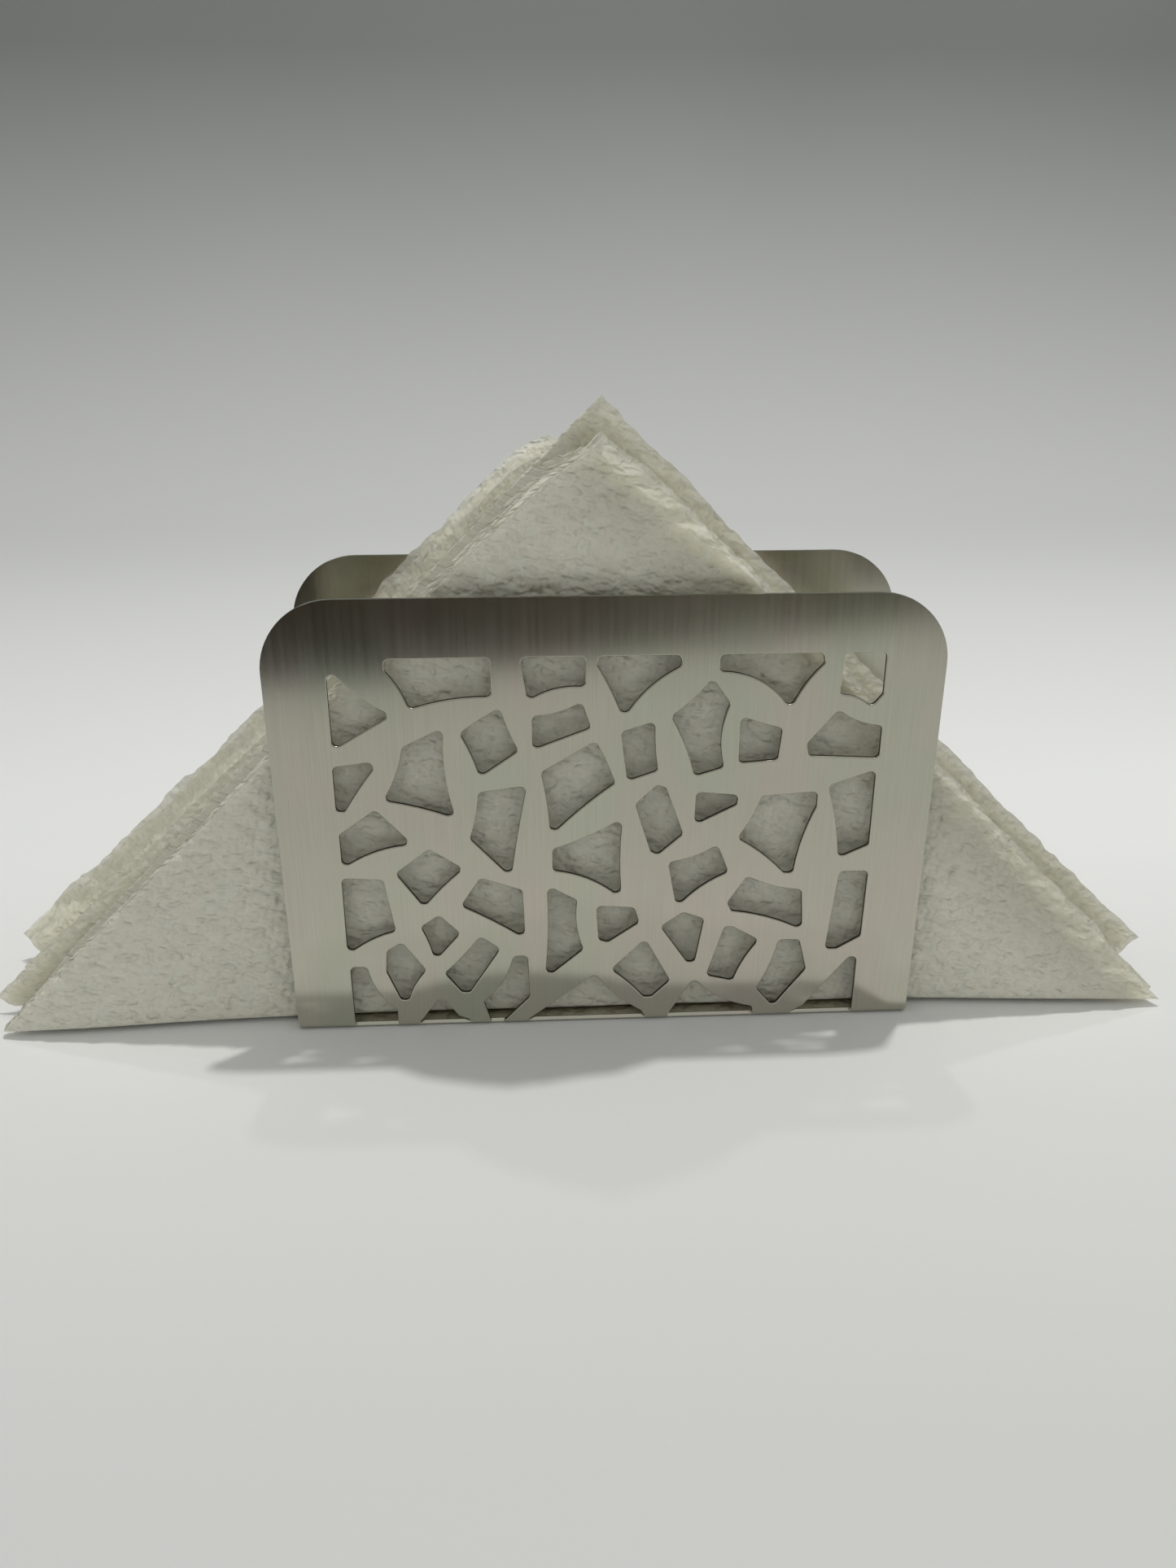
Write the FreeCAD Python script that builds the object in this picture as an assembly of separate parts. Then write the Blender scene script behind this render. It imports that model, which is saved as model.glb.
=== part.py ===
"""Table napkin holder: one pierced stainless sheet bent into a U, holding folded paper napkins.

Units are millimetres. X runs along the holder, Y from its front face to its back face, and Z up.
The origin is on the table, under the middle of the holder.
"""

import FreeCAD, Part
import math
import os

from FreeCAD import Vector

# Holder sheet.
WIDTH = 125.0
HEIGHT = 89.6
DEPTH = 36.0
SHEET = 0.8
BEND_INNER_RADIUS = 1.0
TOP_CORNER_RADIUS = 13.5

# Cut-outs.
HOLE_CORNER_RADIUS = 1.0
RIM_ROUND = 0.2  # die roll-over round each hole's outer edge
PATTERN_FOOT = 0.6  # the height that the outlines' z is measured from
BEND_CUT_ANGLE = 48.0  # degrees round the bend at which the lowest row of holes ends
BELOW = -2.0  # where the outlines of that row are closed, under the bottom

# Napkins: a square, folded in half twice and then across its diagonal.
NAPKIN_SIDE = 334.0
NAPKIN_THICKNESS = 2.55
NAPKIN_PITCH = 2.9
NAPKIN_TIP_HEIGHT = 1.8  # the tips of the folded triangle are blunt
NAPKIN_FOOT_ROUND = 1.0  # the long fold that it stands on
NAPKIN_MIDDLES = [-1.5, -1.0, -2.0, -1.5, 0.5, 3.0, -7.0, -10.0]  # each napkin's own x, front to back
FRONT_BUNDLE = 4  # the stack is in two bundles, this many napkins in the front one
BUNDLE_GAP = 2.6
STACK_CLEARANCE = 2.9
REST_GAP = 0.2

FRONT = -DEPTH / 2
BEND_OUTER_RADIUS = BEND_INNER_RADIUS + SHEET
TINY = 1e-6

# Each hole is its corners as (x, z, bow), clockwise as seen from the front, before they are rounded.
# The bow is how far the side from that corner to the next one curves out of the hole, and it is
# negative where that side curves into the hole.
TOP_ROW = [
    [(-50.9, 77.0, -1.0), (-39.5, 67.3, 0), (-50.9, 60.6, 0)],
    [(-40.4, 77.9, 0), (-21.4, 77.9, 0), (-21.4, 70.5, -0.7), (-36.4, 68.3, -0.5), (-40.4, 75.6, 0)],
    [(-16.0, 77.9, 0), (-4.1, 77.9, 0), (-4.2, 72.1, -1.0), (-14.7, 69.6, 0)],
    [(-1.6, 77.9, 0), (13.5, 77.9, 0), (13.3, 75.7, -1.1), (2.9, 65.8, -0.3), (-2.0, 76.4, 0)],
    [(20.5, 77.9, 0), (39.5, 77.9, 0), (39.8, 75.9, -0.6), (34.0, 67.0, -2.1), (20.5, 74.6, 0)],
    [(43.6, 77.9, 0), (51.2, 77.9, 0), (51.2, 69.8, 0), (49.2, 67.3, -0.7), (43.0, 69.8, 0)],
]
UPPER_ROWS = [
    [(-51.2, 57.2, 0), (-42.4, 58.3, -0.4), (-51.2, 45.3, 0)],
    [(-30.3, 64.7, -1.0), (-28.7, 46.2, -0.4), (-42.3, 50.2, -0.6), (-38.1, 60.9, 0)],
    [(-19.8, 68.4, -0.3), (-16.6, 59.8, 0), (-24.0, 54.7, -0.3), (-27.4, 63.5, 0.2)],
    [(-14.0, 66.7, -0.7), (-4.8, 69.3, 0), (-3.1, 64.1, 0), (-14.0, 60.0, 0)],
    [(-2.2, 61.5, 0.2), (1.5, 52.9, -0.4), (-10.9, 42.1, -0.3), (-12.5, 55.4, 0)],
    [(2.5, 63.2, 0), (8.9, 65.2, -0.3), (9.6, 55.3, 0), (3.8, 53.3, 0)],
    [(19.2, 73.5, 0), (22.7, 68.5, -1.1), (22.1, 55.7, 0), (16.5, 54.0, -0.5), (11.8, 66.2, -0.45)],
    [(24.8, 66.0, -0.2), (32.8, 63.4, 0), (32.2, 57.0, 0), (24.8, 56.5, 0)],
    [(43.1, 66.9, -0.8), (51.6, 63.6, 0), (51.6, 57.0, 0), (38.1, 57.7, 0), (37.6, 60.2, 0)],
]
MIDDLE_ROWS = [
    [(-43.9, 48.4, 0), (-37.2, 40.9, -1.1), (-51.0, 36.1, 0), (-51.0, 43.3, 0)],
    [(-34.2, 39.9, 0), (-27.8, 35.5, -0.3), (-35.8, 27.3, 0), (-40.9, 34.8, 0)],
    [(-24.4, 51.5, 0), (-15.2, 52.7, -0.2), (-18.6, 33.4, 0), (-26.3, 41.9, -0.35)],
    [(-10.5, 39.3, -0.5), (3.0, 45.6, -0.45), (3.0, 28.0, -1.3), (-10.5, 34.6, 0)],
    [(9.5, 52.4, 0), (11.2, 51.7, 0), (14.7, 41.9, 0), (9.9, 37.6, 0), (8.5, 38.4, 0), (5.4, 48.4, 0)],
    [(17.0, 50.7, 0), (25.1, 49.9, 0), (24.9, 47.9, 0), (16.8, 43.8, 0)],
    [(29.6, 49.6, 0), (40.4, 50.3, 0), (40.4, 47.3, -0.6), (36.7, 32.9, 0), (34.9, 33.0, -0.5),
     (25.3, 40.8, -0.4)],
    [(42.3, 51.5, 0), (51.3, 54.6, 0), (51.3, 38.7, 0), (45.4, 36.0, -0.5)],
]
LOWER_ROWS = [
    [(-51.3, 34.0, 0), (-43.4, 33.5, 0), (-41.6, 22.0, -0.7), (-51.4, 16.9, 0)],
    [(-24.6, 33.4, 0), (-16.5, 30.5, 0), (-16.2, 19.6, -0.3), (-28.6, 27.3, 0)],
    [(-11.7, 31.4, 0), (-5.8, 28.0, -0.75), (-4.6, 16.8, 0), (-12.3, 10.2, -0.4)],
    [(12.0, 35.9, -0.65), (21.5, 39.5, 0), (23.9, 33.4, -0.8), (13.9, 25.8, 0)],
    [(27.7, 32.5, -0.7), (38.7, 29.2, 0), (39.4, 20.0, -0.75), (24.9, 24.7, 0), (24.0, 26.6, 0)],
    [(46.0, 33.0, 0), (51.7, 33.0, 0), (51.5, 18.2, 0), (46.8, 15.4, 0), (44.4, 15.4, 0)],
    [(-2.0, 26.6, 0), (5.5, 26.0, 0), (6.5, 22.6, 0), (0.3, 18.3, 0), (-1.5, 18.9, 0)],
    [(15.3, 24.7, 0), (19.5, 23.1, 0), (17.9, 13.1, 0), (16.3, 13.3, 0), (10.8, 21.6, 0)],
    [(-33.0, 25.4, 0), (-29.0, 21.2, 0), (-34.3, 15.0, -0.3), (-36.7, 22.8, 0)],
    [(-40.6, 19.5, 0), (-36.1, 12.9, -0.5), (-39.8, 6.1, 0), (-41.5, 6.1, 0), (-44.0, 12.7, 0),
     (-43.6, 17.6, 0)],
    [(-25.1, 20.4, 0), (-21.2, 17.4, 0), (-27.6, 7.4, 0), (-29.2, 7.6, 0), (-32.5, 12.1, -0.3)],
    [(7.8, 18.8, 0), (13.0, 8.9, 0), (9.3, 5.2, 0), (7.7, 5.2, -0.3), (1.0, 11.9, 0)],
    [(23.7, 21.2, 0), (25.2, 21.2, 0), (30.8, 17.9, -0.55), (25.9, 8.5, 0), (20.4, 9.9, 0)],
    [(34.8, 17.8, 0), (39.0, 17.8, 0), (40.8, 10.8, 0), (34.5, 2.1, 0), (30.8, 6.5, -0.5)],
]
# The lowest row is open downwards, and ends part of the way round the bend.
BOTTOM_ROW = [
    [(-51.1, 14.1, 0), (-47.8, 14.0, -1.1), (-42.4, 3.8, 0), (-42.4, BELOW, 0), (-51.1, BELOW, 0)],
    [(-33.5, 6.7, 0), (-30.0, 2.0, 0), (-27.7, 1.0, 0), (-27.7, BELOW, 0), (-38.4, BELOW, 0),
     (-38.4, 0.1, 0)],
    [(-18.6, 15.6, 0), (-15.8, 15.7, 0), (-15.5, 6.0, 0), (-21.0, 0.2, 0), (-21.0, BELOW, 0),
     (-23.4, BELOW, 0), (-23.4, 0.2, 0), (-24.9, 5.3, -1.1)],
    [(-2.2, 11.0, -0.8), (7.3, 2.0, 0), (8.1, 0.6, 0), (8.1, BELOW, 0), (-15.9, BELOW, 0),
     (-15.9, 0.6, 0), (-14.2, 1.9, 0)],
    [(17.9, 9.4, -1.4), (30.3, 2.3, 0), (30.4, BELOW, 0), (12.8, BELOW, 0), (12.8, 0.9, 0)],
    [(49.5, 13.4, 0), (51.1, 13.4, 0), (51.1, BELOW, 0), (38.3, BELOW, 0), (38.3, 0.7, 0),
     (40.9, 2.2, 0)],
]


def bowed_side(start, end, bow):
    """A side of a hole: a line, or an arc whose middle stands bow away from the straight way."""
    if bow == 0:
        return Part.LineSegment(start, end).toShape()
    along = end - start
    outwards = Vector(-along.z, 0, along.x).normalize()
    middle = (start + end) * 0.5 + outwards * bow
    return Part.Arc(start, middle, end).toShape()


def hole_cutter(outline, depth):
    """A prism with a hole's outline, running back from just in front of the holder's front face."""
    points = [Vector(x, FRONT - SHEET, PATTERN_FOOT + z) for x, z, _ in outline]
    bows = [bow for _, _, bow in outline]
    sides = [bowed_side(start, end, bow) for start, end, bow in zip(points, points[1:] + points[:1], bows)]
    prism = Part.Face(Part.Wire(sides)).extrude(Vector(0, SHEET + depth, 0))
    corners = [
        e for e in prism.Edges
        if abs(e.tangentAt(e.FirstParameter).y) > 0.99 and e.Vertexes[0].Z > 0
    ]
    return prism.makeFillet(HOLE_CORNER_RADIUS, corners)


def in_front_of_bend_cut():
    """All that lies on the front side of the plane through the bend's axis where the lowest holes end."""
    side = 4 * WIDTH
    block = Part.makeBox(side, side, side, Vector(-side / 2, -side / 2, 0))
    block.rotate(Vector(0, 0, 0), Vector(1, 0, 0), BEND_CUT_ANGLE)
    block.translate(Vector(0, FRONT + BEND_OUTER_RADIUS, BEND_OUTER_RADIUS))
    return block


def bent_box(width, depth, foot, bend_radius):
    """A box standing at the height foot, with its two long lower edges rounded."""
    box = Part.makeBox(width, depth, HEIGHT, Vector(-width / 2, -depth / 2, foot))
    bends = [e for e in box.Edges if e.BoundBox.ZMax < foot + TINY and e.BoundBox.XLength > TINY]
    return box.makeFillet(bend_radius, bends)


def bent_sheet():
    """The sheet bent into a U, with the top corners of both upright faces rounded, before it is pierced."""
    inside = bent_box(2 * WIDTH, DEPTH - 2 * SHEET, SHEET, BEND_INNER_RADIUS)
    bent = bent_box(WIDTH, DEPTH, 0, BEND_OUTER_RADIUS).cut(inside)
    top_corners = [e for e in bent.Edges if e.BoundBox.ZMin > HEIGHT - TINY and e.BoundBox.XLength < TINY]
    return bent.makeFillet(TOP_CORNER_RADIUS, top_corners)


def front_cutters():
    """The cutters of every hole in the front face."""
    closed = TOP_ROW + UPPER_ROWS + MIDDLE_ROWS + LOWER_ROWS
    before_cut = in_front_of_bend_cut()
    cutters = [hole_cutter(outline, 2 * SHEET) for outline in closed]
    cutters += [hole_cutter(outline, BEND_OUTER_RADIUS).common(before_cut) for outline in BOTTOM_ROW]
    return cutters


def on_outside(face):
    """Whether one of the sheet's faces is the outside of an upright face or of a bend."""
    box = face.BoundBox
    if isinstance(face.Surface, Part.Plane):
        return box.YLength < TINY and abs(abs(box.YMin) - DEPTH / 2) < TINY
    return isinstance(face.Surface, Part.Cylinder) and abs(face.Surface.Radius - BEND_OUTER_RADIUS) < TINY


def rim_edges(sheet):
    """The edges round the holes on the outside of the sheet."""
    rims = []
    for edge in sheet.Edges:
        box = edge.BoundBox
        off_ends = max(-box.XMin, box.XMax) < WIDTH / 2 - SHEET
        off_foot_and_top = TINY < box.ZMin and box.ZMax < HEIGHT - SHEET
        outside = [face for face in sheet.ancestorsOfType(edge, Part.Face) if on_outside(face)]
        if off_ends and off_foot_and_top and len(outside) == 1:
            rims.append(edge)
    return rims


def holder_sheet():
    """The one piece of steel: bent into a U, pierced alike on both faces, and with rolled-over rims."""
    front = front_cutters()
    back = [cutter.rotated(Vector(0, 0, 0), Vector(0, 0, 1), 180) for cutter in front]
    sheet = bent_sheet().cut(front + back).Solids[0]
    return sheet.makeFillet(RIM_ROUND, rim_edges(sheet)).Solids[0]


def napkin(index, middle):
    """One folded napkin as a plain flat block: a triangle with blunt tips, standing on its long fold."""
    height = NAPKIN_SIDE / 2 / math.sqrt(2)
    foot = SHEET + REST_GAP
    near = FRONT + SHEET + STACK_CLEARANCE + index * NAPKIN_PITCH
    if index >= FRONT_BUNDLE:
        near += BUNDLE_GAP
    tip_x = height - NAPKIN_TIP_HEIGHT
    corners = [
        (-tip_x, 0), (tip_x, 0), (tip_x, NAPKIN_TIP_HEIGHT), (0, height), (-tip_x, NAPKIN_TIP_HEIGHT),
    ]
    points = [Vector(middle + x, near, foot + z) for x, z in corners]
    block = Part.Face(Part.makePolygon(points + points[:1])).extrude(Vector(0, NAPKIN_THICKNESS, 0))
    foot_edges = [e for e in block.Edges if e.BoundBox.ZMax < foot + TINY and e.BoundBox.XLength > tip_x]
    return block.makeFillet(NAPKIN_FOOT_ROUND, foot_edges).Solids[0]


def main():
    os.makedirs("parts", exist_ok=True)
    pieces = {"holder_sheet": holder_sheet()}
    for index, middle in enumerate(NAPKIN_MIDDLES):
        pieces[f"napkin_{index + 1}"] = napkin(index, middle)
    for name, shape in pieces.items():
        shape.exportStep(f"parts/{name}.step")
        print(name, shape.ShapeType, "valid", shape.isValid(), "volume", round(shape.Volume, 1))


main()
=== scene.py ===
"""The looks of a table napkin holder: one pierced steel sheet with eight folded paper napkins in it.

The steel is the CAD's own mesh with a brushed finish. Each napkin is a whole square of tissue, folded in
code along its three creases, and stands for its plain CAD block. Lengths are metres, and names that end
in _MM hold millimetres, which the folding works in.
"""

import math

import bpy
import numpy as np
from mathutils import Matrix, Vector


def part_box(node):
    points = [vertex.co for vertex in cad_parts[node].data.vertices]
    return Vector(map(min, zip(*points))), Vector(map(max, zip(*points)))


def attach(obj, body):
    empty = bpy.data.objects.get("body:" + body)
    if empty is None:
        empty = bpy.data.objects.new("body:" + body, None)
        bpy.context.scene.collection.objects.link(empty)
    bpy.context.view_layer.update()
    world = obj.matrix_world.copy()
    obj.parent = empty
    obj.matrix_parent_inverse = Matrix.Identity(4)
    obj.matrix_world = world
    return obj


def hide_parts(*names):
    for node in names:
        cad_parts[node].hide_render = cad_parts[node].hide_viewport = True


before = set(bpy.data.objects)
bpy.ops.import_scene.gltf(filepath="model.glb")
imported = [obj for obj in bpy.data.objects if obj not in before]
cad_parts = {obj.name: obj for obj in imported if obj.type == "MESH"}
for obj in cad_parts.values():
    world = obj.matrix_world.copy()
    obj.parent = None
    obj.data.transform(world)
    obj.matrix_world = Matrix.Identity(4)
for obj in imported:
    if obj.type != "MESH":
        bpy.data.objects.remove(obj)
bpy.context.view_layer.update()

MM = 0.001

# The napkins.
SIDE_MM = 334.0  # cut size of the square
LEAF_MM = 0.31  # from one layer of a folded napkin to the next
LAYERS = 8
FINE_STEP_MM = 0.8  # between grid lines in the quarter of the sheet that ends up outside
MIDDLE_STEP_MM = 1.2  # the same, for napkins of which less shows
COARSE_STEP_MM = 1.9  # everywhere else
FOLD_LINES = 4  # grid lines round a tight fold
FOOT_EASE_MM = 16.0  # leaves start to slide over one another this far above the long fold
MOUTH_MM = 89.6  # height of the holder's top edge
MOUTH_EASE_MM = 1.5  # leaves start to open out this far below the mouth
SPREAD_REACH_MM = 34.0  # and usually go on doing so up to this far above it
APEX_MM = 121.0  # height of the highest tip
SOFT_TIP_MM = (100.0, 119.0)  # the tips are blunted between these heights
WING_MM = 62.5  # half the holder's width, past which a napkin is free
WING_REACH_MM = 66.0  # leaves open out over this length beyond the holder
WING_BOW_MM = 2.6  # all the napkins bow this far forwards towards their ends
WING_TIP_MM = 125.0
STRETCH_MM = (30.0, 118.0)  # a napkin drawn out to the left is stretched between these distances
SET_BACK_REACH_MM = 35.0  # how far in from the slope a leaf that stops short is drawn in
FLARE_SLOPE_MM = 127.0  # height less distance along x, on the slope where the rear napkin flares
NEAR_FACE_MM = 0.14  # from the block's near face to the first leaf
WAVER_MM = 0.24  # how far an edge wavers, in long waves
RAGGED_MM = 0.14  # and in short ones
UNEVEN_MM = 0.10  # shared unevenness of all a napkin's leaves

# The tissue.
EMBOSS_ROWS_M, EMBOSS_COLUMNS_M = 0.0027, 0.0017
RIB_PITCH_M = 0.0015
RIB_BAND_M = (0.0036, 0.0028)  # the ribbed band along a cut edge fades out between these distances
THIN_BAND_M = (0.004, 0.016)  # single leaves near their cut edges let more light through
DENTS_PER_METRE = (370.0, 620.0)  # along and across the slanting dents
DENT_SLANT = math.radians(-65.0)

# The holder's finish.
GRAIN_ACROSS = 3000.0  # brush lines per metre, across the grain
GRAIN_ALONG = 55.0
HOLES_HALF_WIDTH_M = 0.0615  # every hole's edge is nearer the middle than this
HOLES_TOP_M = 0.0885
HOLES_FOOT_M = 0.0012

# The stage.
LAMP_COLOUR = (1.0, 0.985, 0.95)
LAMP_TARGET = (0.0, 0.0, 0.05)
ROOM_STRENGTH = 0.72
SWEEP_SHADE_HEIGHT = 0.28  # the painted shade on the paper is at its darkest from here up


# Sheets folded in code ---------------------------------------------------------------------------

def ripples(u, v, length, waves, rng):
    """A smooth uneven field of about unit size, with its bumps about length apart."""
    total = np.zeros_like(u)
    for _ in range(waves):
        angle, phase = rng.uniform(0, math.tau, 2)
        rate = math.tau / (length * rng.uniform(0.7, 1.4))
        total += np.cos(rate * (u * math.cos(angle) + v * math.sin(angle)) + phase)
    return total * math.sqrt(2 / waves)


def ease(value, start, end):
    """0 before start, 1 after end, and smooth between them."""
    t = np.clip((value - start) / (end - start), 0, 1)
    return t * t * (3 - 2 * t)


def bend(past, depth, middle):
    """Folds layers over a line. past is how far each point lies beyond the line, depth is its layer's
    depth, and middle is the depth that the fold turns round. Returns the same two after the fold."""
    radius = middle - depth
    turn = np.clip(past / radius, 0, math.pi)
    arc = math.pi * radius
    folded_past = np.where(past < 0, past, np.where(past < arc, radius * np.sin(turn), arc - past))
    folded_depth = np.where(past < 0, depth, middle - radius * np.cos(turn))
    return folded_past, folded_depth


def grid_lines(fine, coarse, arc):
    """Places of the grid lines across the sheet: fine steps past the fold at 0 on the plus side, a few
    lines round the fold, and coarse steps on the minus side. A line falls on each end of the sheet."""
    half = SIDE_MM / 2
    plus = np.append(np.arange(0, half - fine / 3, fine), half)
    minus = np.append(np.arange(arc, half - coarse / 3, coarse), half)
    round_fold = np.linspace(0, arc, FOLD_LINES + 1)[1:-1]
    return np.concatenate([-minus[::-1], -round_fold[::-1], plus])


def grid_faces(lines_a, lines_b):
    """Two triangles for each cell, split along the way that the last fold runs over that quarter."""
    count_a, count_b = len(lines_a), len(lines_b)
    index = np.arange(count_a * count_b).reshape(count_a, count_b)
    low_low, high_low = index[:-1, :-1], index[1:, :-1]
    low_high, high_high = index[:-1, 1:], index[1:, 1:]
    mid_a = (lines_a[:-1] + lines_a[1:])[:, None]
    mid_b = (lines_b[:-1] + lines_b[1:])[None, :]
    rising = (mid_a * mid_b > 0)[..., None]
    rising_first = np.stack([low_low, high_low, high_high], -1)
    rising_second = np.stack([low_low, high_high, low_high], -1)
    falling_first = np.stack([low_low, high_low, low_high], -1)
    falling_second = np.stack([high_low, high_high, low_high], -1)
    first = np.where(rising, rising_first, falling_first)
    second = np.where(rising, rising_second, falling_second)
    return np.concatenate([first.reshape(-1, 3), second.reshape(-1, 3)])


def folded_square(fine, past_diagonal, loose_corner):
    """The flat sheet's grid and where each point lies once folded: along the long fold, up from it, and
    deep in the stack. past_diagonal is how much larger the near half is than an exact fold leaves it, and
    loose_corner is how much more that is at the end where all the corners are free."""
    lines_a = grid_lines(fine, COARSE_STEP_MM, math.pi * 1.5 * LEAF_MM)
    lines_b = grid_lines(fine, COARSE_STEP_MM, math.pi * 0.5 * LEAF_MM)
    a, b = (side.ravel() for side in np.meshgrid(lines_a, lines_b, indexing="ij"))
    depth = np.zeros_like(a)
    past_b, depth = bend(-b, depth, 0.5 * LEAF_MM)
    past_a, depth = bend(-a, depth, 1.5 * LEAF_MM)
    across, along = -past_a, -past_b
    root = math.sqrt(2)
    reach = (across + along) / root - SIDE_MM / 2 / root
    excess = past_diagonal + loose_corner * np.clip(reach / (SIDE_MM / 2 / root), 0, 1) ** 2
    past, depth = bend((along - across) / root - excess, depth, 3.5 * LEAF_MM)
    return a, b, grid_faces(lines_a, lines_b), reach, 3.5 * LEAF_MM - past, depth


def leaf_values(values, depth):
    """One value for each of the eight layers, read smoothly at any depth."""
    return np.interp(depth / LEAF_MM, np.arange(LAYERS), values)


def slid_leaves(settings, rng, a, b, reach, up, depth):
    """Leaves slide over one another, some stop short of the slope, and no edge is quite straight."""
    free = ease(up, 0, FOOT_EASE_MM)
    slide = rng.normal(0, settings["slide"], LAYERS)
    lift = rng.normal(0, 0.5 * settings["slide"], LAYERS)
    reach = reach + free * leaf_values(slide, depth)
    up = up + free * leaf_values(lift, depth)
    to_slope = (SIDE_MM / 2 / math.sqrt(2) - reach - up) / math.sqrt(2)
    drawn_in = leaf_values(settings["set_back"], depth) * ease(-to_slope, -SET_BACK_REACH_MM, 0.0)
    reach = reach - drawn_in / math.sqrt(2)
    up = up - drawn_in / math.sqrt(2) * free
    to_edge = SIDE_MM / 2 - np.maximum(np.abs(a), np.abs(b))
    waver = free * (0.2 + 0.8 * np.exp(-to_edge / 9.0)) * WAVER_MM
    reach = reach + waver * ripples(a, b, 21.0, 7, rng)
    up = up + waver * ripples(a, b, 18.0, 7, rng)
    ragged = np.exp(-to_edge / 2.0) * RAGGED_MM
    reach = reach + ragged * ripples(a, b, 4.0, 7, rng)
    up = up + free * ragged * ripples(a, b, 4.0, 7, rng)
    up = up - settings["tip_drop"] * ease(up, *SOFT_TIP_MM) ** 2
    return reach, up


def opened_out(settings, x, up, z, depth):
    """How far each point moves in depth where the leaves are free: above the holder and beside it."""
    y = -WING_BOW_MM * (ease(x, 0.7 * WING_MM, WING_TIP_MM) + ease(-x, 0.7 * WING_MM, WING_TIP_MM))
    past_slope = ((z - x) - FLARE_SLOPE_MM) / math.sqrt(2)
    y = y + settings["flare"] * ease(past_slope, -8.0, 0.5) * ease(up, 2.0, 14.0)
    widest = MOUTH_MM + settings["widest"]
    above = ease(z, MOUTH_MM - MOUTH_EASE_MM, widest) * (1 - settings["closing"] * ease(z, widest, APEX_MM))
    y = y + above * leaf_values(settings["open_top"], depth)
    y = y + ease(x, WING_MM, WING_MM + WING_REACH_MM) * leaf_values(settings["open_right"], depth)
    return y + ease(-x, WING_MM, WING_MM + WING_REACH_MM) * leaf_values(settings["open_left"], depth)


def napkin_points(settings, box, seed):
    """Flat coordinates, faces and points, in millimetres, of one napkin in the holder."""
    rng = np.random.default_rng(seed)
    a, b, faces, reach, up, depth = folded_square(
        settings["step"], settings["past_diagonal"], settings["loose_corner"]
    )
    low, high = (np.array(corner) / MM for corner in box)
    if settings["turned"]:
        depth = (LAYERS - 1) * LEAF_MM - depth
    reach, up = slid_leaves(settings, rng, a, b, reach, up, depth)
    x = -reach if settings["mirrored"] else reach
    x = x - settings["left_reach"] * ease(-x, *STRETCH_MM) + (low[0] + high[0]) / 2 + settings["shift"]
    z = low[2] + up
    # A shared unevenness and shallow dents stay inside the napkin's own slab, then the free parts open.
    uneven = UNEVEN_MM * np.sin(0.021 * math.tau * x) * np.sin(0.017 * math.tau * z + 1.1)
    share = depth / ((LAYERS - 1) * LEAF_MM)
    dents = 0.75 * ripples(x, z, 4.4, 12, rng) + 0.8 * ripples(x, z, 9.0, 9, rng)
    pressed = (settings["near_dents"] * (1 - share) + settings["far_dents"] * share) * ease(up, 1.0, 8.0)
    y = low[1] + NEAR_FACE_MM + depth + uneven + pressed * dents + opened_out(settings, x, up, z, depth)
    return a, b, faces, np.stack([x, y, z], -1)


def sheet_object(name, a, b, faces, points):
    """A smooth mesh of one sheet, with where each point lay in the flat square kept as a UV map."""
    mesh = bpy.data.meshes.new(name)
    mesh.vertices.add(len(points))
    mesh.vertices.foreach_set("co", (points * MM).astype(np.float32).ravel())
    mesh.loops.add(faces.size)
    mesh.loops.foreach_set("vertex_index", faces.astype(np.int32).ravel())
    mesh.polygons.add(len(faces))
    mesh.polygons.foreach_set("loop_start", np.arange(0, faces.size, 3, dtype=np.int32))
    mesh.update(calc_edges=True)
    mesh.polygons.foreach_set("use_smooth", np.ones(len(faces), bool))
    flat = mesh.uv_layers.new(name="flat")
    at_corners = np.stack([a, b], -1)[faces.ravel()] / SIDE_MM + 0.5
    flat.data.foreach_set("uv", at_corners.astype(np.float32).ravel())
    mesh.validate()
    piece = bpy.data.objects.new(name, mesh)
    bpy.context.scene.collection.objects.link(piece)
    return piece


# Nodes -------------------------------------------------------------------------------------------

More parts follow.
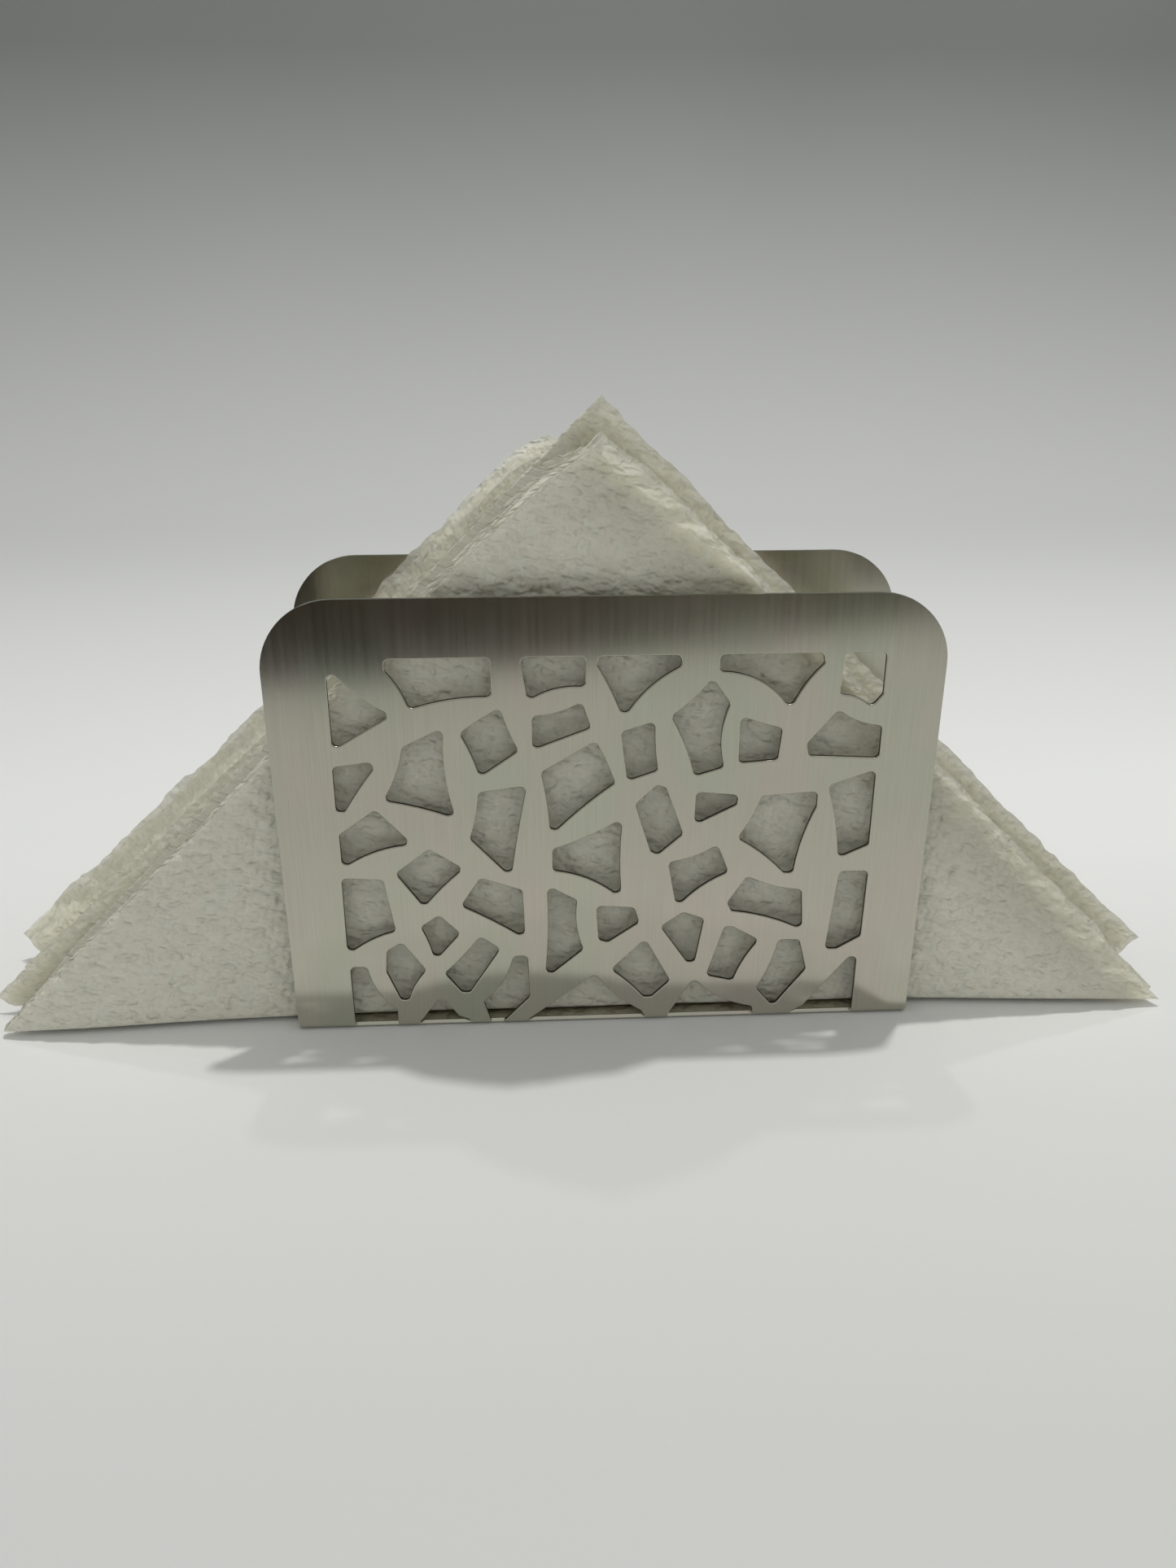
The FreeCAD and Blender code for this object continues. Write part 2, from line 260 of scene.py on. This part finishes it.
class Tree:
    """Short ways to add and join the nodes of one material."""

    def __init__(self, name):
        self.material = bpy.data.materials.new(name)
        self.material.use_nodes = True
        self.tree = self.material.node_tree
        self.shader = self.tree.nodes["Principled BSDF"]
        self.output = self.tree.nodes["Material Output"]

    def join(self, value, socket):
        if isinstance(value, bpy.types.NodeSocket):
            self.tree.links.new(value, socket)
        else:
            socket.default_value = value

    def node(self, kind, **settings):
        made = self.tree.nodes.new("ShaderNode" + kind)
        for key, value in settings.items():
            setattr(made, key, value)
        return made

    def math(self, operation, *values):
        made = self.node("Math", operation=operation)
        for value, socket in zip(values, made.inputs):
            self.join(value, socket)
        return made.outputs[0]

    def scaled(self, vector, scale):
        made = self.node("Mapping")
        self.join(vector, made.inputs["Vector"])
        made.inputs["Scale"].default_value = scale
        return made.outputs[0]

    def noise(self, vector, scale, detail=2.0, roughness=0.5):
        made = self.node("TexNoise")
        self.join(vector, made.inputs["Vector"])
        made.inputs["Scale"].default_value = scale
        made.inputs["Detail"].default_value = detail
        made.inputs["Roughness"].default_value = roughness
        return made.outputs["Fac"]

    def ranged(self, value, low, high, new_low, new_high):
        made = self.node("MapRange")
        for entry, socket in zip((value, low, high, new_low, new_high), made.inputs):
            self.join(entry, socket)
        return made.outputs[0]

    def mixed(self, share, first, second):
        made = self.node("Mix", data_type="RGBA")
        self.join(share, made.inputs[0])
        self.join(first, made.inputs[6])
        self.join(second, made.inputs[7])
        return made.outputs[2]

    def bump(self, height, distance, strength, normal=None):
        made = self.node("Bump")
        self.join(height, made.inputs["Height"])
        made.inputs["Distance"].default_value = distance
        made.inputs["Strength"].default_value = strength
        if normal is not None:
            self.join(normal, made.inputs["Normal"])
        return made.outputs[0]


def brushed_steel():
    """Sheet steel with its grain upright, faint cloudy stains, and cut edges in the holes darkened with
    painted shade.
    """
    t = Tree("brushed_steel")
    place = t.node("TexCoord").outputs["Object"]
    grain = t.noise(t.scaled(place, (GRAIN_ACROSS, GRAIN_ACROSS, GRAIN_ALONG)), 1.0, 3.0, 0.65)
    long_grain = t.noise(t.scaled(place, (900.0, 900.0, 14.0)), 1.0, 2.0)
    cloud = t.noise(place, 38.0, 3.0, 0.55)
    cloud_tint = t.noise(t.scaled(place, (52.0, 52.0, 24.0)), 1.0, 2.0)
    greenish, pinkish = (0.48, 0.49, 0.39, 1), (0.53, 0.475, 0.41, 1)
    colour = t.mixed(t.ranged(cloud_tint, 0.38, 0.64, 0.0, 1.0), greenish, pinkish)
    colour = t.mixed(t.ranged(cloud, 0.3, 0.75, 0.0, 0.22), colour, (0.42, 0.41, 0.37, 1))
    colour = t.mixed(t.ranged(grain, 0.25, 0.75, 0.0, 0.26), colour, (0.74, 0.73, 0.66, 1))
    # Cut faces inside the holes look along the sheet, and aren't brushed: they are rougher, and painted
    # shade makes them dark.
    normal = t.node("NewGeometry").outputs["True Normal"]
    parts = t.node("SeparateXYZ")
    t.join(normal, parts.inputs[0])
    where = t.node("SeparateXYZ")
    t.join(place, where.inputs[0])
    inside_ends = t.math("LESS_THAN", t.math("ABSOLUTE", where.outputs[0]), HOLES_HALF_WIDTH_M)
    under_top = t.math("LESS_THAN", where.outputs[2], HOLES_TOP_M)
    above_base = t.math("GREATER_THAN", where.outputs[2], HOLES_FOOT_M)
    edge_on = t.ranged(t.math("ABSOLUTE", parts.outputs[1]), 0.35, 0.12, 0.0, 1.0)
    in_height = t.math("MULTIPLY", under_top, above_base)
    cut = t.math("MULTIPLY", t.math("MULTIPLY", edge_on, inside_ends), in_height)
    # Painted shade: the cut faces inside the holes are coloured near black.
    colour = t.mixed(cut, colour, (0.10, 0.095, 0.08, 1))
    t.join(colour, t.shader.inputs["Base Color"])
    streaks = t.ranged(long_grain, 0.3, 0.7, 0.145, 0.175)
    rough = t.math("ADD", streaks, t.ranged(cloud, 0.3, 0.7, 0.0, 0.05))
    t.join(t.math("MAXIMUM", rough, t.math("MULTIPLY", cut, 0.5)), t.shader.inputs["Roughness"])
    t.shader.inputs["Metallic"].default_value = 1.0
    t.shader.inputs["Anisotropic"].default_value = 0.8
    tangent = t.node("Tangent", direction_type="RADIAL", axis="Z")
    t.join(tangent.outputs[0], t.shader.inputs["Tangent"])
    brushed = t.bump(grain, 0.00001, 0.4, t.bump(long_grain, 0.00002, 0.15))
    t.join(brushed, t.shader.inputs["Normal"])
    return t.material


def tissue_relief(t, place, u, v, from_a, from_b):
    """The embossed lattice, which gives way to ribs in a band along each cut edge."""
    wander = t.math("MULTIPLY", t.noise(place, 420.0, 1.0), 7.0)
    rows = t.math("SINE", t.math("ADD", t.math("MULTIPLY", u, math.tau / EMBOSS_ROWS_M), wander))
    columns = t.math("SINE", t.math("SUBTRACT", t.math("MULTIPLY", v, math.tau / EMBOSS_COLUMNS_M), wander))
    band_a = t.ranged(from_a, *RIB_BAND_M, 0.0, 1.0)
    band_b = t.ranged(from_b, *RIB_BAND_M, 0.0, 1.0)
    rib_rate = math.tau / RIB_PITCH_M
    rib_size = t.ranged(t.noise(place, 700.0, 1.0), 0.3, 0.7, 0.15, 0.75)
    along_v = t.math("SINE", t.math("ADD", t.math("MULTIPLY", v, rib_rate), wander))
    along_u = t.math("SINE", t.math("ADD", t.math("MULTIPLY", u, rib_rate), wander))
    ribs_a = t.math("MULTIPLY", t.math("MULTIPLY", band_a, rib_size), along_v)
    ribs_b = t.math("MULTIPLY", t.math("MULTIPLY", band_b, rib_size), along_u)
    plain = t.math("SUBTRACT", 1.0, t.math("MAXIMUM", band_a, band_b))
    lattice = t.math("MULTIPLY", plain, t.math("MULTIPLY", rows, columns))
    return t.math("ADD", lattice, t.math("ADD", ribs_a, ribs_b))


def tissue_paper():
    """Embossed tissue: a fine lattice, slanting dents, ribs along the cut edges, and a soft mottle, with
    painted shade in the hollows of the lattice and the dents. It lets some light through, and more of it
    near the cut edges, where leaves stand singly."""
    t = Tree("tissue_paper")
    side = SIDE_MM * MM
    place = t.scaled(t.node("UVMap", uv_map="flat").outputs[0], (side, side, 1.0))
    across = t.node("SeparateXYZ")
    t.join(place, across.inputs[0])
    u, v = across.outputs[0], across.outputs[1]
    half = side / 2
    from_a = t.math("SUBTRACT", half, t.math("ABSOLUTE", t.math("SUBTRACT", u, half)))
    from_b = t.math("SUBTRACT", half, t.math("ABSOLUTE", t.math("SUBTRACT", v, half)))
    relief = tissue_relief(t, place, u, v, from_a, from_b)
    slanted = t.node("Mapping")
    t.join(place, slanted.inputs["Vector"])
    slanted.inputs["Rotation"].default_value = (0.0, 0.0, DENT_SLANT)
    dents = t.noise(t.scaled(slanted.outputs[0], (*DENTS_PER_METRE, 1.0)), 1.0, 1.0, 0.4)
    fibres = t.noise(place, 2600.0, 3.0, 0.7)
    mottle = t.noise(place, 260.0, 3.0, 0.6)
    warm, cool = (0.955, 0.925, 0.80, 1), (0.95, 0.95, 0.85, 1)
    colour = t.mixed(t.ranged(mottle, 0.35, 0.65, 0.0, 1.0), warm, cool)
    # Painted shade: the hollows of the lattice and of the dents are coloured darker.
    colour = t.mixed(t.ranged(relief, -1.0, 0.2, 0.05, 0.0), colour, (0.70, 0.67, 0.56, 1))
    colour = t.mixed(t.ranged(dents, 0.35, 0.55, 0.16, 0.0), colour, (0.66, 0.64, 0.55, 1))
    t.join(colour, t.shader.inputs["Base Color"])
    t.join(t.ranged(fibres, 0.3, 0.7, 0.82, 0.96), t.shader.inputs["Roughness"])
    t.shader.inputs["Specular IOR Level"].default_value = 0.25
    t.shader.inputs["Sheen Weight"].default_value = 0.15
    t.shader.inputs["Sheen Roughness"].default_value = 0.5
    normal = t.bump(relief, 0.00009, 0.8)
    normal = t.bump(dents, 0.0015, 0.9, normal)
    normal = t.bump(mottle, 0.0009, 0.7, normal)
    normal = t.bump(fibres, 0.0001, 0.6, normal)
    t.join(normal, t.shader.inputs["Normal"])
    glow = t.node("BsdfTranslucent")
    glow.inputs["Color"].default_value = (0.98, 0.965, 0.90, 1)
    t.join(normal, glow.inputs["Normal"])
    both = t.node("MixShader")
    t.join(t.ranged(t.math("MINIMUM", from_a, from_b), *THIN_BAND_M, 0.5, 0.22), both.inputs[0])
    t.join(t.shader.outputs[0], both.inputs[1])
    t.join(glow.outputs[0], both.inputs[2])
    t.join(both.outputs[0], t.output.inputs["Surface"])
    return t.material


def paper_sweep():
    """The backdrop's pale paper, with painted shade that darkens it towards its top and a painted pool of
    light on the floor round the object.
    """
    t = Tree("paper_sweep")
    place = t.node("TexCoord").outputs["Object"]
    where = t.node("SeparateXYZ")
    t.join(place, where.inputs[0])
    # Painted shade darkens the paper towards its top. Painted light makes the floor brightest in a band
    # round the object, and darker in front and further back.
    shade = t.ranged(where.outputs[2], 0.0, SWEEP_SHADE_HEIGHT, 0.0, 1.0)
    near = t.ranged(where.outputs[1], -0.12, 0.06, 0.0, 1.0)
    far = t.ranged(where.outputs[1], 0.10, 0.48, 0.0, 1.0)
    floor = t.mixed(near, (0.735, 0.745, 0.74, 1), (0.93, 0.94, 0.94, 1))
    floor = t.mixed(far, floor, (0.67, 0.68, 0.68, 1))
    colour = t.mixed(shade, floor, (0.235, 0.245, 0.245, 1))
    soft = t.noise(place, 2.2, 2.0)
    colour = t.mixed(t.ranged(soft, 0.35, 0.65, 0.0, 0.10), colour, (0.62, 0.62, 0.61, 1))
    t.join(colour, t.shader.inputs["Base Color"])
    t.shader.inputs["Roughness"].default_value = 0.9
    t.shader.inputs["Specular IOR Level"].default_value = 0.2
    t.join(t.bump(t.noise(place, 900.0, 3.0), 0.0002, 0.15), t.shader.inputs["Normal"])
    return t.material


# The napkins -------------------------------------------------------------------------------------

def napkin_settings():
    """What differs from napkin to napkin, front to back. Lengths are in millimetres, and lists hold one
    value for each leaf, near to far.

    step: between grid lines in the finest quarter. past_diagonal, loose_corner: as in folded_square.
    mirrored: the free edges are at the left. turned: the near half faces away. shift: how far sideways.
    left_reach: how far the left end is drawn out. slide: how unevenly the leaves lie. set_back: how far
    leaves stop short of the slope. tip_drop: how blunt the tip is. near_dents, far_dents: depth of the
    dents. flare: how far the left edge leans back. open_top, open_right, open_left: how far leaves open
    out in depth above and beside the holder. widest: the height above the mouth where the opening above
    is complete. closing: the share of it that is taken back by the tip, or added where it is below 0.
    """
    none = [0.0] * LAYERS
    common = {
        "step": COARSE_STEP_MM, "past_diagonal": -0.6, "loose_corner": 0.0, "mirrored": False,
        "turned": False, "shift": 0.0, "left_reach": 0.0, "slide": 0.35, "set_back": none,
        "tip_drop": 1.5, "near_dents": 0.03, "far_dents": 0.03, "flare": 0.0, "open_top": none,
        "open_right": none, "open_left": none, "widest": SPREAD_REACH_MM, "closing": 0.0,
    }
    front = {
        "step": FINE_STEP_MM, "tip_drop": 2.6, "near_dents": 0.16, "slide": 0.45,
        "left_reach": 1.8, "widest": 14.0, "closing": -0.25,
        "open_top": [-5.2, -4.9, -4.4, -4.0, -2.4, -1.9, -1.3, -0.8],
        "open_right": [-1.6, -1.4, -1.2, -1.0, -0.5, -0.3, -0.1, 0.0],
        "open_left": [-0.8, -0.7, -0.6, -0.5, -0.3, -0.2, -0.1, 0.0],
    }
    changes = [
        front,
        {
            "shift": -0.6, "slide": 0.5, "tip_drop": 3.0,
            "set_back": [3.5, 4.0, 4.5, 5.0, 5.0, 5.0, 5.0, 5.0],
        },
        {
            "shift": -0.5, "slide": 0.5, "tip_drop": 4.0,
            "set_back": [5.0, 5.0, 5.5, 5.5, 5.5, 5.5, 5.5, 5.5],
        },
        {
            "past_diagonal": -2.0, "loose_corner": 4.0, "mirrored": True, "slide": 0.5, "tip_drop": 4.5,
            "step": MIDDLE_STEP_MM, "shift": -3.5, "left_reach": 3.0,
            "set_back": [0.0, 0.5, 3.0, 3.5, 4.0, 4.0, 4.5, 4.5],
        },
        {
            "past_diagonal": 1.8, "loose_corner": 3.5, "step": MIDDLE_STEP_MM, "slide": 0.6, "tip_drop": 0.4,
            "set_back": [0.0, 0.6, 3.0, 3.5, 5.0, 5.0, 5.5, 5.5],
        },
        {
            "past_diagonal": 0.8, "loose_corner": 5.5, "step": MIDDLE_STEP_MM, "slide": 0.9, "tip_drop": 0.3,
            "set_back": [6.0, 5.5, 5.0, 4.0, 4.0, 3.0, 0.0, 0.4],
        },
        {
            "past_diagonal": -3.0, "loose_corner": 5.0, "mirrored": True, "slide": 0.9, "tip_drop": 6.0,
            "step": MIDDLE_STEP_MM, "set_back": [0.5, 1.0, 3.0, 3.5, 3.0, 3.0, 2.5, 2.5],
        },
        {
            "past_diagonal": -3.5, "loose_corner": 8.0, "mirrored": True, "turned": True,
            "step": FINE_STEP_MM, "slide": 0.7, "tip_drop": 4.5, "far_dents": 0.16, "flare": 4.8,
            "set_back": [8.0, 7.6, 7.0, 6.4, 5.0, 4.2, 0.0, 0.4],
            "open_top": [0.0, 0.2, 0.5, 0.9, 2.4, 2.8, 3.3, 3.8],
            "open_right": [0.0, 0.3, 0.7, 1.1, 2.2, 2.7, 3.3, 4.0],
            "open_left": [0.0, 0.3, 0.7, 1.2, 2.4, 3.0, 3.6, 4.2],
        },
    ]
    return [{**common, **change} for change in changes]


def make_napkins(material):
    for number, settings in enumerate(napkin_settings(), 1):
        node = f"napkin_{number}"
        piece = sheet_object(f"folded_napkin_{number}", *napkin_points(settings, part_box(node), number))
        piece.data.materials.append(material)
        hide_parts(node)
        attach(piece, node)


# The stage ---------------------------------------------------------------------------------------

def add_sweep(material):
    """A sheet of pale paper: flat under the object, then curving up behind it."""
    half_width, front, bend_start, bend_radius, top = 1.6, -1.4, 0.42, 0.30, 1.3
    profile = [(front, 0.0), (bend_start, 0.0)]
    for step in range(1, 17):
        angle = step / 16 * math.pi / 2
        y = bend_start + bend_radius * math.sin(angle)
        profile.append((y, bend_radius * (1 - math.cos(angle))))
    profile.append((bend_start + bend_radius, top))
    points = [(x, y, z) for y, z in profile for x in (-half_width, half_width)]
    faces = [(2 * i, 2 * i + 1, 2 * i + 3, 2 * i + 2) for i in range(len(profile) - 1)]
    mesh = bpy.data.meshes.new("sweep")
    mesh.from_pydata(points, [], faces)
    for polygon in mesh.polygons:
        polygon.use_smooth = True
    mesh.materials.append(material)
    sweep = bpy.data.objects.new("sweep", mesh)
    bpy.context.scene.collection.objects.link(sweep)


def add_dark_card():
    """The dark beyond the paper's near edge, which shows only in the steel's reflections. Its near-black
    strip along the near edge is painted shade.
    """
    t = Tree("dark_card")
    place = t.node("SeparateXYZ")
    t.join(t.node("TexCoord").outputs["Object"], place.inputs[0])
    beyond = t.ranged(place.outputs[1], -0.27, -0.36, 0.0, 1.0)
    rightward = t.ranged(place.outputs[0], -0.10, 0.12, 0.0, 1.0)
    # Painted shade: near black along the near edge, brown further off.
    colour = t.mixed(beyond, (0.010, 0.009, 0.009, 1), (0.050, 0.035, 0.025, 1))
    colour = t.mixed(rightward, colour, (0.13, 0.12, 0.10, 1))
    t.join(colour, t.shader.inputs["Base Color"])
    t.shader.inputs["Specular IOR Level"].default_value = 0.0
    t.shader.inputs["Roughness"].default_value = 0.9
    corners = [(-0.60, -0.225, 0.001), (-0.08, -0.240, 0.001), (0.05, -0.280, 0.001), (0.6, -0.46, 0.001)]
    far = [(x, -1.2, z) for x, _, z in reversed(corners)]
    mesh = bpy.data.meshes.new("dark_card")
    mesh.from_pydata(corners + far, [], [tuple(range(8))])
    mesh.materials.append(t.material)
    card = bpy.data.objects.new("dark_card", mesh)
    bpy.context.scene.collection.objects.link(card)
    card.visible_camera = False
    card.visible_diffuse = False
    card.visible_shadow = False


def add_lamp(name, place, size, power):
    """A round lamp that shines at the middle of the object."""
    data = bpy.data.lights.new(name, "AREA")
    data.shape = "DISK"
    data.size = size
    data.energy = power
    data.color = LAMP_COLOUR
    light = bpy.data.objects.new(name, data)
    light.location = place
    aim = Vector(LAMP_TARGET) - Vector(place)
    light.rotation_euler = aim.to_track_quat("-Z", "Y").to_euler()
    bpy.context.scene.collection.objects.link(light)


def add_lamps():
    """A strong lamp nearly overhead and a weak one behind it, which throw their shadows forwards."""
    add_lamp("lamp_behind", (0.0, 0.46, 1.27), 0.05, 1.0)
    add_lamp("lamp_over", (0.178, 0.16, 1.27), 0.045, 5.8)


def add_room():
    """The light of the room: dim in front, brighter behind, and brightest overhead."""
    world = bpy.data.worlds.new("room")
    world.use_nodes = True
    nodes, links = world.node_tree.nodes, world.node_tree.links
    parts = nodes.new("ShaderNodeSeparateXYZ")
    links.new(nodes.new("ShaderNodeTexCoord").outputs["Generated"], parts.inputs[0])

    def blend(axis, low, high):
        ramp = nodes.new("ShaderNodeMapRange")
        ramp.inputs["From Min"].default_value = low
        ramp.inputs["From Max"].default_value = high
        links.new(parts.outputs[axis], ramp.inputs["Value"])
        mix = nodes.new("ShaderNodeMix")
        mix.data_type = "RGBA"
        links.new(ramp.outputs[0], mix.inputs[0])
        return mix

    walls = blend(1, -0.6, 0.4)
    walls.inputs[6].default_value = (0.43, 0.425, 0.395, 1)
    walls.inputs[7].default_value = (0.55, 0.56, 0.56, 1)
    room = blend(2, 0.05, 0.85)
    links.new(walls.outputs[2], room.inputs[6])
    room.inputs[7].default_value = (0.76, 0.77, 0.75, 1)
    links.new(room.outputs[2], nodes["Background"].inputs["Color"])
    nodes["Background"].inputs["Strength"].default_value = ROOM_STRENGTH
    bpy.context.scene.world = world


def add_camera():
    data = bpy.data.cameras.new("camera")
    data.lens = 27.8
    data.sensor_width = 36.0
    data.clip_start = 0.01
    camera = bpy.data.objects.new("camera", data)
    camera.location = (-0.01459, -0.22787, 0.14332)
    looking = Vector((0.0478, 0.9183, -0.3931))
    camera.rotation_euler = looking.to_track_quat("-Z", "Y").to_euler()
    bpy.context.scene.collection.objects.link(camera)
    bpy.context.scene.camera = camera


def finish_steel(material):
    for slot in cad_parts["holder_sheet"].material_slots:
        slot.material = material


add_camera()
finish_steel(brushed_steel())
make_napkins(tissue_paper())
add_sweep(paper_sweep())
add_dark_card()
add_lamps()
add_room()
bpy.context.scene.view_settings.view_transform = "Standard"
